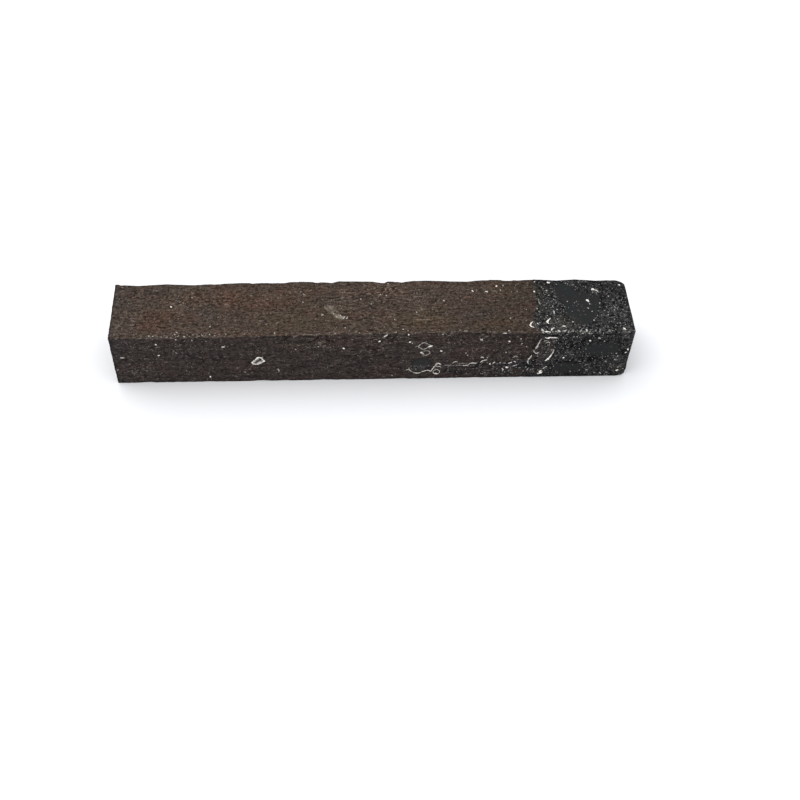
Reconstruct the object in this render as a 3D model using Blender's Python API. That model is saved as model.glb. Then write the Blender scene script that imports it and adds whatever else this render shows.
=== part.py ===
"""A squared turning blank of dark hardwood, dipped in black wax at one end.

Blender 4.5 script, metres, +Z up. The blank lies along X: the bare end is at -X, the waxed end at +X.
The origin is under the middle of the blank, on the plane that it lies on. The -Y side is the front.
"""

import math

import bmesh
import bpy
from mathutils import Vector

MM = 0.001

# Driving dimensions
LENGTH = 300.0 * MM  # over the bare end and the waxed end
WIDTH = 41.0 * MM  # over the wax, along Y
HEIGHT = 39.0 * MM  # over the wax, along Z
WAX_PROUD = 0.4 * MM  # the coat stands this far outside the sawn faces
WAX_THICKNESS = 0.5 * MM
WAX_CLEARANCE = 0.3 * MM  # between the coat and the timber that it soaked into
STUCK_CLEARANCE = 0.3 * MM  # between a stuck piece and the face that it is on

# The sawn timber, without its wax
SAWN_HALF_WIDTH = WIDTH / 2 - WAX_PROUD
SAWN_BOTTOM = WAX_PROUD
SAWN_TOP = HEIGHT - WAX_PROUD
BARE_END = -LENGTH / 2
WAXED_END = LENGTH / 2
SOAK_DEPTH = WAX_THICKNESS - WAX_PROUD + WAX_CLEARANCE  # how far the wax has eaten into the timber

# The dip line: a plane that leans, so that the wax reaches further along the lower front edge
DIP_X = 93.9 * MM  # at the middle of the section
DIP_LEAN_Y = 0.03
DIP_LEAN_Z = 0.065

# Worn edges
ARRIS = 0.6 * MM  # the long edges
END_ARRIS = 0.5 * MM
KNOCKED_CORNER = 3.2 * MM  # the upper back corner of the waxed end
KNOCKED_LENGTH = 7.0 * MM

FRONT = "front"
TOP = "top"

TIMBER = ("dark_timber", (0.075, 0.052, 0.038), 0.8)
WAX = ("black_wax", (0.028, 0.028, 0.029), 0.55)
PALE_WAX = ("pale_wax", (0.40, 0.38, 0.35), 0.6)


def clear_scene():
    for obj in list(bpy.data.objects):
        bpy.data.objects.remove(obj, do_unlink=True)


def material(name, colour, roughness):
    mat = bpy.data.materials.new(name)
    mat.use_nodes = True
    shader = mat.node_tree.nodes["Principled BSDF"]
    shader.inputs["Base Color"].default_value = (*colour, 1.0)
    shader.inputs["Roughness"].default_value = roughness
    shader.inputs["Metallic"].default_value = 0.0
    return mat


def add_object(name, bm, look):
    """Turn a bmesh into a named object with its own material."""
    bmesh.ops.recalc_face_normals(bm, faces=bm.faces)
    mesh = bpy.data.meshes.new(name)
    bm.to_mesh(mesh)
    bm.free()
    colour_name, colour, roughness = look
    mesh.materials.append(material(name + "_" + colour_name, colour, roughness))
    obj = bpy.data.objects.new(name, mesh)
    bpy.context.scene.collection.objects.link(obj)
    return obj


def loft(rings, closed=False):
    """Skin a list of rings of points. An open chain gets a flat face at each end."""
    bm = bmesh.new()
    loops = [[bm.verts.new(point) for point in ring] for ring in rings]
    pairs = list(zip(loops, loops[1:]))
    if closed:
        pairs.append((loops[-1], loops[0]))
    for ring, following in pairs:
        count = len(ring)
        for i in range(count):
            j = (i + 1) % count
            bm.faces.new((ring[i], ring[j], following[j], following[i]))
    if not closed:
        bm.faces.new(loops[0])
        bm.faces.new(loops[-1])
    return bm


def dip_x(y, z):
    """Where the dip line is along X at a point of the section."""
    return DIP_X + DIP_LEAN_Y * y + DIP_LEAN_Z * (z - HEIGHT / 2)


def section(x_at, inset, knock=ARRIS):
    """A ring round the blank, inset from the sawn faces, with its four arrises taken off.

    x_at gives X at a point of the section. knock is the size of the upper back corner.
    """
    half = SAWN_HALF_WIDTH - inset
    low, high = SAWN_BOTTOM + inset, SAWN_TOP - inset
    corners = (
        (-half + ARRIS, low),
        (half - ARRIS, low),
        (half, low + ARRIS),
        (half, high - knock),
        (half - knock, high),
        (-half + ARRIS, high),
        (-half, high - ARRIS),
        (-half, low + ARRIS),
    )
    return [Vector((x_at(y, z), y, z)) for y, z in corners]


def flat(x):
    return lambda y, z: x


def end_sections(x_end, inset):
    """The rings from the sound part of the waxed end out to its worn rim, with the knocked corner."""
    return [
        section(flat(x_end - KNOCKED_LENGTH), inset),
        section(flat(x_end - END_ARRIS), inset, KNOCKED_CORNER),
        section(flat(x_end), inset + END_ARRIS, KNOCKED_CORNER),
    ]


def timber_billet():
    """The sawn blank. Under the wax it is thinner by the depth that the hot wax soaked in."""

    def shoulder(y, z):
        return dip_x(y, z) - WAX_CLEARANCE

    rings = [
        section(flat(BARE_END), END_ARRIS),
        section(flat(BARE_END + END_ARRIS), 0.0),
        section(shoulder, 0.0),
        section(shoulder, SOAK_DEPTH),
    ]
    rings += end_sections(WAXED_END - WAX_PROUD - SOAK_DEPTH, SOAK_DEPTH)
    add_object("timber_billet", loft(rings), TIMBER)


def wax_end_cap():
    """The dipped coat: a thin shell over four sides and the end, open where the timber enters it."""
    inner_inset = WAX_THICKNESS - WAX_PROUD
    inside = end_sections(WAXED_END - WAX_THICKNESS, inner_inset)
    inside.reverse()
    inside.append(section(dip_x, inner_inset))
    outside = [section(dip_x, -WAX_PROUD)] + end_sections(WAXED_END, -WAX_PROUD)
    add_object("wax_end_cap", loft(inside + outside), WAX)


def on_face(face, u, v, lift):
    """A point on the front (u, v are X, Z) or on the top (u, v are X, Y), lifted off the sawn face."""
    if face == FRONT:
        return Vector((u, -SAWN_HALF_WIDTH - STUCK_CLEARANCE - lift, v))
    return Vector((u, v, SAWN_TOP + STUCK_CLEARANCE + lift))


def domed_pad(name, face, centre, half_size, height, lobes, look):
    """A pad of wax: a flat back, a lobed outline, and a crown that closes in four steps."""
    around, steps = 24, 4
    rings = []
    for step in range(steps + 1):
        tilt = 0.44 * math.pi * step / steps
        shrink, lift = math.cos(tilt), height * math.sin(tilt)
        ring = []
        for i in range(around):
            angle = math.tau * i / around
            lobe = sum(size * math.cos(n * angle + turn) for n, size, turn in lobes)
            reach = shrink * (1.0 + lobe)
            u = centre[0] + half_size[0] * reach * math.cos(angle)
            v = centre[1] + half_size[1] * reach * math.sin(angle)
            ring.append(on_face(face, u, v, lift))
        rings.append(ring)
    add_object(name, loft(rings), look)


def rib(name, face, centre, half_size, start, sweep, width, height, bulge, look):
    """A rounded rib along an ellipse on a face: a whole ring, or an arc with tapered ends.

    bulge makes the rib wider towards the start of the sweep, as a share of its width.
    """
    closed = abs(sweep) >= math.tau
    stations = 24
    count = stations if closed else stations + 1
    across = 5
    rings = []
    for i in range(count):
        share = i / stations
        angle = start + sweep * share
        taper = 1.0 if closed else 0.25 + 0.75 * math.sin(math.pi * share) ** 0.5
        half_width = 0.5 * width * taper * (1.0 + bulge * math.cos(math.tau * share))
        ring = []
        for k in range(across + 1):
            roll = math.pi * k / across
            out = half_width * math.cos(roll)
            u = centre[0] + (half_size[0] + out) * math.cos(angle)
            v = centre[1] + (half_size[1] + out) * math.sin(angle)
            ring.append(on_face(face, u, v, height * taper * math.sin(roll)))
        rings.append(ring)
    add_object(name, loft(rings, closed), look)


def wax_run_film():
    """The thin run that left the dip line and crept along the lower front of the blank."""
    start_x = 41.0 * MM
    low_z = 1.4 * MM
    top_near_bead, top_near_cap = 10.5 * MM, 16.0 * MM
    swell = 1.2 * MM
    thickness = 0.4 * MM
    edge = 0.5 * MM
    stations = 14
    upturn = 4.0 * MM  # how far the lower edge has drawn up where the run meets the bead
    rings = []
    for i in range(stations + 1):
        share = i / stations
        top = top_near_bead + (top_near_cap - top_near_bead) * share
        top += swell * math.sin(2.5 * math.tau * share)
        low = low_z + upturn * (1.0 - share) ** 2
        ring = []
        for z, lift in ((low, 0.0), (top, 0.0), (top - edge, thickness), (low + edge, thickness)):
            end_x = dip_x(-SAWN_HALF_WIDTH, z) - WAX_CLEARANCE
            ring.append(on_face(FRONT, start_x + (end_x - start_x) * share, z, lift))
        rings.append(ring)
    add_object("wax_run_film", loft(rings), WAX)


def wax_run_bead():
    """The fat drop that the run ended in."""
    centre = (27.3 * MM, 10.8 * MM)
    lobes = ((2, 0.10, 0.6), (3, 0.08, 1.9), (5, 0.03, 0.4))
    domed_pad("wax_run_bead", FRONT, centre, (6.6 * MM, 5.6 * MM), 1.1 * MM, lobes, WAX)


def wax_droplets():
    """Two droplets between the bead and the run, each with a raised rim."""
    size = (1.8 * MM, 1.3 * MM)
    width, height = 1.1 * MM, 0.6 * MM
    centres = {
        "wax_droplet_upper": (36.9 * MM, 11.4 * MM),
        "wax_droplet_lower": (36.6 * MM, 6.2 * MM),
    }
    for name, centre in centres.items():
        rib(name, FRONT, centre, size, 0.0, math.tau, width, height, 0.2, PALE_WAX)


def wax_rings():
    """Two burst bubbles of wax, one above the other, left as pale rings on the front."""
    width, height = 0.9 * MM, 0.4 * MM
    rib(
        "wax_ring_large", FRONT, (28.7 * MM, 28.4 * MM), (3.6 * MM, 2.4 * MM),
        0.0, math.tau, width, height, 0.25, PALE_WAX,
    )
    rib(
        "wax_ring_small", FRONT, (29.3 * MM, 22.9 * MM), (2.4 * MM, 1.4 * MM),
        0.0, math.tau, width, height, 0.2, PALE_WAX,
    )


def pale_curl_flake():
    """A curled flake on the front, thick on its left and thin on its right."""
    rib(
        "pale_curl_flake", FRONT, (-67.4 * MM, 17.9 * MM), (3.4 * MM, 2.5 * MM),
        math.pi, math.tau, 2.0 * MM, 0.7 * MM, 0.35, PALE_WAX,
    )


def wax_crescent_flake():
    """A crescent that has lifted off the coat and lies on the top face, just outside the dip line."""
    rib(
        "wax_crescent_flake", TOP, (92.2 * MM, -14.0 * MM), (1.6 * MM, 2.3 * MM),
        math.radians(100), math.radians(175), 0.9 * MM, 0.4 * MM, 0.0, PALE_WAX,
    )


def main():
    clear_scene()
    timber_billet()
    wax_end_cap()
    wax_run_film()
    wax_run_bead()
    wax_droplets()
    wax_rings()
    pale_curl_flake()
    wax_crescent_flake()


main()
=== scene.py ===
"""The looks of a waxed hardwood turning blank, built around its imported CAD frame.

Shapes are worked out in millimetres in the CAD frame: X along the stick, waxed end at +X, front at -Y.
They are turned into metres when a mesh is made. Each CAD node gets a modelled piece that stands for it.
"""

import math

import bmesh
import bpy
import numpy as np
from mathutils import Matrix, Vector


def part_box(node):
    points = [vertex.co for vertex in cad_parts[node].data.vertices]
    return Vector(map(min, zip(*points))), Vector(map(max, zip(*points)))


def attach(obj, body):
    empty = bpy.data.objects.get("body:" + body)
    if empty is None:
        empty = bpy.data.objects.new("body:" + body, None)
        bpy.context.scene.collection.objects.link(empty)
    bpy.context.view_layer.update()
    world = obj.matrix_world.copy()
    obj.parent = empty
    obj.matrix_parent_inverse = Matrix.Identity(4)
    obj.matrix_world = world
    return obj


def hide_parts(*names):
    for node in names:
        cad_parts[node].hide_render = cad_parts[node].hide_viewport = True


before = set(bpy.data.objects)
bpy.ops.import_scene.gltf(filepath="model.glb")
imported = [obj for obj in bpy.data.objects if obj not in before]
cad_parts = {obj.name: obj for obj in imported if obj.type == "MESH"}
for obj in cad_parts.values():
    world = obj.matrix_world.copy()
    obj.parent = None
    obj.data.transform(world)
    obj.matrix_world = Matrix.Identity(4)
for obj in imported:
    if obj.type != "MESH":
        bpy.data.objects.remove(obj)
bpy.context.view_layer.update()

MM = 0.001
BODY = "root"


def box_mm(node):
    low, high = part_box(node)
    return np.array(low) / MM, np.array(high) / MM


TIMBER_LOW, TIMBER_HIGH = box_mm("timber_billet")
CAP_HIGH = box_mm("wax_end_cap")[1]

# Raised fibres bring the sawn faces out over the CAD planes, as far as the wax stands
FIBRE_ACROSS = 0.87
FIBRE_UP = 0.36
HALF_WIDTH = TIMBER_HIGH[1] + FIBRE_ACROSS
BOTTOM = TIMBER_LOW[2] - FIBRE_UP
TOP_Z = TIMBER_HIGH[2] + FIBRE_UP
MID_Z = (BOTTOM + TOP_Z) / 2
BARE_X = TIMBER_LOW[0]
WAX_X = CAP_HIGH[0]
COAT = 0.2
END_POOL = 0.5  # wax pooled on the end stands out over the CAD face
SAWN_END_X = WAX_X + END_POOL - COAT
FLOOR_GAP = 0.01
FRONT_LEAN = 0.6  # the front leans out this far at its foot

# The dip line on the back and the bottom, as in the CAD model: a plane that leans
DIP_X = 93.9
DIP_LEAN_Y = 0.03
DIP_LEAN_Z = 0.065

# The dip line on the top, as Y and X, and on the front, as Z and X
DIP_ON_TOP = [
    (-20.5, 95), (-17, 92.4), (-12, 91.6), (-8, 92.3), (-2, 94.1), (5, 95), (13, 94.9), (20.5, 94.8),
]
DIP_ON_FRONT = [
    (0, 92.5), (5, 90.2), (9.5, 92.2), (14, 90.8), (18.5, 91.6), (24, 92.6), (30.5, 95.2), (38.9, 96.4),
]

# Stray of the two top arrises: X, and how far the far one stands out or the near one leans in
FAR_ARRIS = [
    (-150, 0.1), (-137, -0.9), (-121, -0.1), (-107, -0.7), (-77, 0.2), (-61, 0.0), (-43, 0.6), (-29, 0.1),
    (-24, -0.3), (-20, 0.6), (1, 0.2), (6.8, -0.3), (8.2, 0.3), (17.5, -0.3), (24.5, 0.45), (31.5, 0.5),
    (53, -0.2), (70, 0.6), (87, 0.1), (96.5, 0.4), (109, -0.3), (120.5, 0.2), (133, -0.6), (150, -0.5),
]
NEAR_ARRIS = [
    (-150, 0), (-125, -0.5), (-100, -0.1), (-76, 0), (-43, 0.5), (-20, 0.7), (-6, 0.3), (27, 1.1), (43, 1.1),
    (68, 0.7), (85, 0.3), (96, 0), (107, -0.9), (118, -0.6), (135, -0.8), (150, 0),
]

# ---------------------------------------------------------------- noise

PRIMES = (374761393, 668265263, 2246822519, 3266489917)


def hashed(cell, seed):
    """A repeatable 32-bit number for each whole-numbered cell."""
    with np.errstate(over="ignore"):
        h = np.uint32(seed * PRIMES[3] % 2**32)
        for axis in range(3):
            h = h + cell[:, axis].astype(np.uint32) * np.uint32(PRIMES[axis])
        h = (h ^ (h >> np.uint32(15))) * np.uint32(PRIMES[2])
        h = (h ^ (h >> np.uint32(13))) * np.uint32(PRIMES[3])
        return h ^ (h >> np.uint32(16))


def noise(p, seed):
    """Gradient noise, about -1 to 1, at points measured in cells."""
    cell = np.floor(p).astype(np.int64)
    f = p - cell
    w = f * f * f * (f * (f * 6.0 - 15.0) + 10.0)
    total = np.zeros(len(p))
    for corner in np.ndindex(2, 2, 2):
        corner = np.array(corner)
        h = hashed(cell + corner, seed)
        weight = np.prod(np.where(corner == 1, w, 1.0 - w), axis=1)
        dot = np.zeros(len(p))
        for axis in range(3):
            slope = ((h >> np.uint32(10 * axis)) & np.uint32(1023)) / 511.5 - 1.0
            dot += slope * (f[:, axis] - corner[axis])
        total += weight * dot
    return 1.6 * total


def fbm(p, size, seed, octaves=3, gain=0.5):
    """Layered noise. size is the length of the largest cell along X, Y and Z, in mm."""
    q = p / np.asarray(size, float)
    total, amount, norm = 0.0, 1.0, 0.0
    for octave in range(octaves):
        total = total + amount * noise(q * 2.0**octave, seed + 31 * octave)
        norm += amount
        amount *= gain
    return total / norm


def ramp(value, low, high):
    """0 below low, 1 above high, with a smooth step between."""
    t = np.clip((value - low) / (high - low), 0.0, 1.0)
    return t * t * (3.0 - 2.0 * t)


def bell(value, width):
    """1 where value is 0, falling to 0 on both sides."""
    return np.exp(-((value / width) ** 2))


def blob(p, centre, radii):
    """1 at a centre, falling to 0 with distance: a soft ellipsoid."""
    d = (p - np.asarray(centre, float)) / np.asarray(radii, float)
    return np.exp(-np.sum(d * d, axis=1))


# ---------------------------------------------------------------- the sawn surface

# The long arrises, as Y and Z: the near and the far one of the top, then those of the bottom
ARRISES = [(-HALF_WIDTH, TOP_Z), (HALF_WIDTH, TOP_Z), (-HALF_WIDTH, BOTTOM), (HALF_WIDTH, BOTTOM)]
NEAR, FAR, FOOT = ARRISES[:3]

# Splits and grooves on each face: half width, depth, path (X and Z on the front, X and Y on the top)
GROOVES = {
    "front": [
        (0.34, 0.45, [(-52.5, 35), (-50, 36.8), (-47, 38.8)]),
        (0.42, 0.65, [(-38.5, 32.5), (-34.5, 34.6), (-31, 38.2)]),
        (0.36, 0.5, [(-28.5, 38.6), (-27, 36.6), (-27.5, 34.8)]),
        (0.42, 0.55, [(-27.5, 34.5), (-25.6, 34.1), (-23.5, 32.8)]),
        (0.3, 0.45, [(9.5, 33.8), (11, 36.2), (12.4, 38.6)]), (0.26, 0.35, [(5.8, 34), (7, 36), (8.4, 38)]),
        (0.22, 0.25, [(1.6, 24.6), (0.4, 23.2), (-1, 21)]),
        (0.26, 0.25, [(-109, 24.6), (-105, 23.4), (-101, 20.6), (-98.2, 16.8)]),
        (0.34, 0.4, [(58, 37.8), (62, 38.4), (66, 37.4)]), (0.3, 0.35, [(28, 38.6), (33, 38.4), (37, 38.7)]),
        (0.34, 0.4, [(91.4, 11), (90.8, 8.4), (89.4, 5.4)]),
        (0.4, 0.5, [(94.9, 37.4), (94.3, 34.4), (93.4, 30.6), (91.9, 25.4)]),
        (0.6, 0.55, [(96.8, 37.5), (99, 37.2), (101, 36.9), (104.5, 37.3)]),
        (0.36, 0.35, [(110.5, 23.4), (114, 26.8), (118, 29.6), (122.5, 33), (126, 35.6), (130, 36.8)]),
        (0.34, 0.35, [(132, 37.6), (135, 38.2), (138.5, 37.8)]),
    ],
    "top": [
        (0.45, 0.3, [(133.6, 9.6), (134.2, 7.4), (134.1, 5), (133.4, 2.4)]),
        (0.24, 0.2, [(32.5, -4), (34.5, -3.8), (36.6, -4.2)]),
        (0.2, 0.16, [(14, -13.5), (19, -13.2), (24, -13.6)]),
        (0.22, 0.18, [(60.5, -4.6), (64.5, -4.2), (69, -4.8)]),
    ],
}


def segment_distance(u, v, start, stop):
    along = np.subtract(stop, start)
    t = ((u - start[0]) * along[0] + (v - start[1]) * along[1]) / np.dot(along, along)
    t = np.clip(t, 0.0, 1.0)
    return np.hypot(u - start[0] - t * along[0], v - start[1] - t * along[1])


def path_distance(u, v, path):
    return np.min([segment_distance(u, v, a, b) for a, b in zip(path, path[1:])], axis=0)


def on_face(n, face):
    return n[:, 1] < -0.6 if face == "front" else n[:, 2] > 0.6


def face_v(p, face):
    return p[:, 2] if face == "front" else p[:, 1]


def grooves(p, n):
    """The share and the depth of the splits at each point: 0 outside them, greatest at their middles."""
    share, depth = np.zeros(len(p)), np.zeros(len(p))
    wander = 0.30 * fbm(p, (2.0, 2.0, 2.0), 71, 2)
    for face, rows in GROOVES.items():
        for half, deep, path in rows:
            d = path_distance(p[:, 0] + wander, face_v(p, face) + wander, path)
            here = (1.0 - ramp(d, 0.3 * half, 1.8 * half)) * on_face(n, face)
            share = np.maximum(share, here)
            depth = np.maximum(depth, deep * here)
    return share, depth


def chips():
    """Places where the long arrises have splintered: arris, X, half length, depth."""
    rng = np.random.default_rng(5)
    found = []
    for index in range(4):
        for _ in range(16):
            x = rng.uniform(BARE_X, DIP_X)
            depth = 0.10 + 0.35 * rng.random() ** 3
            found.append((index, x, rng.uniform(1.0, 4.5), depth))
    return found


def arris_distance(p, arris):
    return np.hypot(p[:, 1] - arris[0], p[:, 2] - arris[1])


# Torn patches, placed one by one: centre and radii
TORN = [
    ((-30, -HALF_WIDTH, 32), (12, 3, 6)),
    ((0, -HALF_WIDTH, 31), (12, 3, 8)),
    ((58, -HALF_WIDTH, 32), (14, 3, 7)),
    ((-112, -HALF_WIDTH, 33), (10, 3, 6)),
    ((4, 14, TOP_Z), (9, 7, 3)),
    ((-112, 0, TOP_Z), (14, 12, 3)),
]


def timber_relief(p, n):
    """How far the sawn surface stands over its plane, in mm, at nominal points with normals."""
    on_side = 1.0 - np.abs(n[:, 0])
    height = 0.10 * fbm(p, (70, 26, 26), 11, 3)
    stroke = p[:, 0] + 0.10 * (p[:, 1] - p[:, 2]) + 1.6 * fbm(p, (30, 30, 30), 12, 2)
    sawn = ramp(fbm(p, (45, 20, 20), 13, 2), -0.25, 0.35)
    height += 0.030 * sawn * on_side * np.sin(math.tau * stroke / 2.4)
    height += 0.10 * fbm(p, (5.0, 1.0, 1.0), 14, 2)
    torn = ramp(fbm(p, (26, 7, 7), 15, 3), 0.10, 0.40)
    for centre, radii in TORN:
        torn = np.maximum(torn, 0.9 * blob(p, centre, radii))
    height -= torn * (0.06 + 0.20 * fbm(p, (2.6, 1.4, 1.4), 16, 2))
    height -= 0.15 * ramp(noise(p / np.array([5.0, 0.9, 0.9]), 17), 0.34, 0.62)
    for index, x, reach, depth in chips():
        near = bell(arris_distance(p, ARRISES[index]), 0.8 + depth)
        along = np.clip(1.0 - ((p[:, 0] - x) / reach) ** 2, 0.0, 1.0)
        height -= depth * near * along**0.7
    edge = np.min([arris_distance(p, a) for a in ARRISES], axis=0)
    ragged = np.abs(fbm(p, (3.6, 3.6, 3.6), 18, 3))
    height -= 0.24 * ragged * bell(edge, 0.7) * on_side
    return height - grooves(p, n)[1]


def bare_end_relief(p):
    """Saw marks, an uneven surface and checks on the bare end."""
    arc = np.hypot(p[:, 1] - 160.0, p[:, 2] + 90.0)
    marks = 0.05 * np.sin(math.tau * arc / 1.7) + 0.05 * np.sin(math.tau * arc / 4.3)
    height = marks + 0.16 * fbm(p, (9, 9, 9), 19, 3) + 0.08 * fbm(p, (1.2, 1.2, 1.2), 20, 2)
    return height - 0.9 * check_share(p)


# Drying checks in the bare end: paths as Y and Z
CHECKS = [
    [(-7.0, 39.0), (-5.4, 33.0), (-4.6, 27.5), (-2.6, 21.0)],
    [(20.4, 12.0), (14.0, 13.4), (8.6, 13.0)],
    [(-20.4, 8.0), (-15.8, 10.2), (-12.4, 10.8)],
]


def check_share(p):
    d = np.min([path_distance(p[:, 1], p[:, 2], path) for path in CHECKS], axis=0)
    return 1.0 - ramp(d + 0.12 * fbm(p, (1.6, 1.6, 1.6), 73, 2), 0.10, 0.42)


# ---------------------------------------------------------------- the wax coat

# Where wax has flaked off the front beyond the dip line: Z and the far edge of the bare patch
FLAKED = [
    (2, 95.5), (5, 97.6), (9.5, 98.6), (14, 100.6), (17.5, 102.2), (20.5, 103.7), (24.5, 104.2), (34, 105),
]


def dip_edge(p, n):
    """X of the dip line round the section, with its ragged edge."""
    section = p * np.array([0.0, 1.0, 1.0])
    plain = DIP_X + DIP_LEAN_Y * p[:, 1] + DIP_LEAN_Z * (p[:, 2] - MID_Z)
    top = np.interp(p[:, 1], *zip(*DIP_ON_TOP))
    front = np.interp(p[:, 2], *zip(*DIP_ON_FRONT))
    to_top = np.clip(n[:, 2], 0.0, 1.0) ** 2
    to_front = np.clip(-n[:, 1], 0.0, 1.0) ** 2
    x = plain + to_top * (top - plain) + to_front * (front - plain)
    return x + 0.5 * fbm(section, (6, 6, 6), 21, 2) + 0.45 * fbm(section, (1.7, 1.7, 1.7), 22, 2)


def flaked_share(p, n):
    """1 where the coat on the front has flaked down to a stain, 0 elsewhere."""
    z = p[:, 2]
    wobble = 0.5 * fbm(p, (2.6, 2.6, 2.6), 23, 2)
    far = np.interp(z, *zip(*FLAKED)) + wobble
    inside = 1.0 - ramp(p[:, 0], far - 0.25, far + 0.25)
    inside *= ramp(z, 1.6, 2.8) * (1.0 - ramp(z, 33.6, 35.0))
    return inside * (n[:, 1] < -0.6)


# Where the wax set smooth: strength, centre and radii
SMOOTH_WAX = [
    (1.2, (119, 3, TOP_Z), (8, 8, 3)),
    (1.2, (121, -8, TOP_Z), (8, 8, 3)),
    (1.0, (112, 12, TOP_Z), (6, 7, 3)),
    (0.8, (130, 3, TOP_Z), (5, 6, 3)),
    (1.1, (133, -HALF_WIDTH, 24), (12, 3, 6.5)),
    (0.9, (116, -HALF_WIDTH, 8), (12, 3, 6)),
]


def smooth_share(p, n):
    """1 where the wax set smooth, 0 where it wrinkled and was scuffed."""
    patches = sum(strength * blob(p, centre, radii) for strength, centre, radii in SMOOTH_WAX)
    patches += 0.8 * ramp(fbm(p, (22, 16, 16), 25, 2), 0.12, 0.5) * (n[:, 1] > -0.5) * (n[:, 2] < 0.5)
    return ramp(patches + 0.15 * fbm(p, (3, 3, 3), 26, 2), 0.35, 0.75)


def wax_thickness(p, n, past_edge):
    """Thickness of the coat over the sawn plane. past_edge is the distance beyond the dip line."""
    rough = 1.0 - smooth_share(p, n)
    t = COAT + 0.13 * fbm(p, (13, 11, 11), 27, 2)
    t += 0.11 * rough * fbm(p, (2.6, 2.6, 2.6), 28, 2)
    t += 0.08 * rough * (0.4 - np.abs(fbm(p, (1.5, 1.5, 1.5), 29, 2)))
    t -= (t - 0.06) * 0.92 * flaked_share(p, n)
    lip = 0.10 * bell(past_edge - 0.8, 0.5)
    return 0.05 + (t + lip - 0.05) * ramp(past_edge, 0.0, 0.8)


def waxed_end_relief(p):
    """Pooled wax on the end face: slow waves, a sagging bead along the bottom, and burst bubbles."""
    height = 0.22 * fbm(p, (14, 14, 14), 31, 2) + 0.06 * fbm(p, (2.4, 2.4, 2.4), 32, 2)
    sag = 0.30 * bell(p[:, 2] - 5.0, 3.2) * (1.0 + fbm(p, (9, 9, 9), 33, 2))
    rng = np.random.default_rng(8)
    for _ in range(16):
        y, z, r = rng.uniform(-17, 17), rng.uniform(4, 35), rng.uniform(0.5, 1.3)
        d = np.hypot(p[:, 1] - y, p[:, 2] - z)
        height += 0.10 * bell(d - r, 0.35) - 0.22 * (1.0 - ramp(d, 0.3 * r, r))
    return height + sag


# The upper back corner of the waxed end is knocked off, along a plane through this point, facing this way
LOST_CORNER = np.array([144.0, HALF_WIDTH + 0.2, TOP_Z + 0.2])
LOST_CORNER_FACES = np.array([0.371, 1.0, 1.0])
CORNER_ROUNDING = 0.25
STRAY_REACH = 4.5  # how far from an arris its stray dies out
PINCH = 0.045  # the waxed end narrows by this share
PINCH_LENGTH = 6.0


def settle(p):
    """Bends points near the top arrises as those stray, rounds off the waxed end, keeps off the floor."""
    far = np.interp(p[:, 0], *zip(*FAR_ARRIS)) * bell(arris_distance(p, FAR), STRAY_REACH)
    lean = np.interp(p[:, 0], *zip(*NEAR_ARRIS)) * bell(arris_distance(p, NEAR), STRAY_REACH)
    p = p + np.stack([np.zeros(len(p)), 0.707 * far + 0.8 * lean, 0.707 * far + 0.25 * lean], axis=1)
    normal = LOST_CORNER_FACES / np.linalg.norm(LOST_CORNER_FACES)
    over = (p - LOST_CORNER) @ normal
    p = p - (0.5 * (over + np.sqrt(over * over + CORNER_ROUNDING)))[:, None] * normal
    lean = FRONT_LEAN * (1.0 - p[:, 2] / TOP_Z) * np.clip(-p[:, 1] / HALF_WIDTH, 0.0, 1.0)
    p[:, 1] -= lean
    pinch = PINCH * np.clip((p[:, 0] - (WAX_X - PINCH_LENGTH)) / PINCH_LENGTH, 0.0, 1.0) ** 2
    p[:, 1] *= 1.0 - pinch
    p[:, 2] += pinch * (MID_Z - p[:, 2])
    p[:, 2] = np.maximum(p[:, 2], FLOOR_GAP)
    return p


# ---------------------------------------------------------------- meshes


def steps(low, high, step, fine=0.0, fine_count=0):
    """Values from low to high, with fine_count short steps at both ends."""
    ends = fine * fine_count
    count = max(1, round((high - low - 2 * ends) / step))
    middle = np.linspace(low + ends, high - ends, count + 1)
    start = low + fine * np.arange(fine_count)
    stop = high - fine * np.arange(fine_count)[::-1]
    return np.concatenate([start, middle, stop])


def grid_quads(index):
    """Quads between the neighbours in a grid of point numbers."""
    return np.stack([index[:-1, :-1], index[1:, :-1], index[1:, 1:], index[:-1, 1:]], axis=-1).reshape(-1, 4)


def ring_quads(index, closed=False):
    """Quads round a tube, whose rings are the rows of a grid of point numbers. It may close on itself."""
    index = np.hstack([index, index[:, :1]])
    return grid_quads((np.vstack([index, index[:1]]) if closed else index).T)


def box_lattice(xs, ys, zs, open_start=False):
    """The surface of a box of lattice points: points and quads facing out. It may be open at its -X end."""
    index = -np.ones((len(xs), len(ys), len(zs)), int)
    surface = np.zeros(index.shape, bool)
    surface[:, [0, -1]] = surface[:, :, [0, -1]] = surface[-1] = True
    surface[0] |= not open_start
    index[surface] = np.arange(surface.sum())
    i, j, k = np.nonzero(surface)
    facing = [index[:, :, -1], index[:, 0], index[-1]]
    turned = [index[:, :, 0], index[:, -1]] + ([] if open_start else [index[0]])
    quads = [grid_quads(side) for side in facing] + [grid_quads(side)[:, ::-1] for side in turned]
    return np.stack([xs[i], ys[j], zs[k]], axis=1), np.concatenate(quads), index


def rounded(points, low, high, radius):
    """Rounds the edges of a box of lattice points. Gives the new points and their normals."""
    inner = np.clip(points, low + radius, high - radius)
    out = points - inner
    length = np.linalg.norm(out, axis=1, keepdims=True)
    normals = out / np.maximum(length, 1e-9)
    return inner + radius * normals, normals


def add_object(name, data):
    obj = bpy.data.objects.new(name, data)
    bpy.context.scene.collection.objects.link(obj)
    return obj


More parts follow.
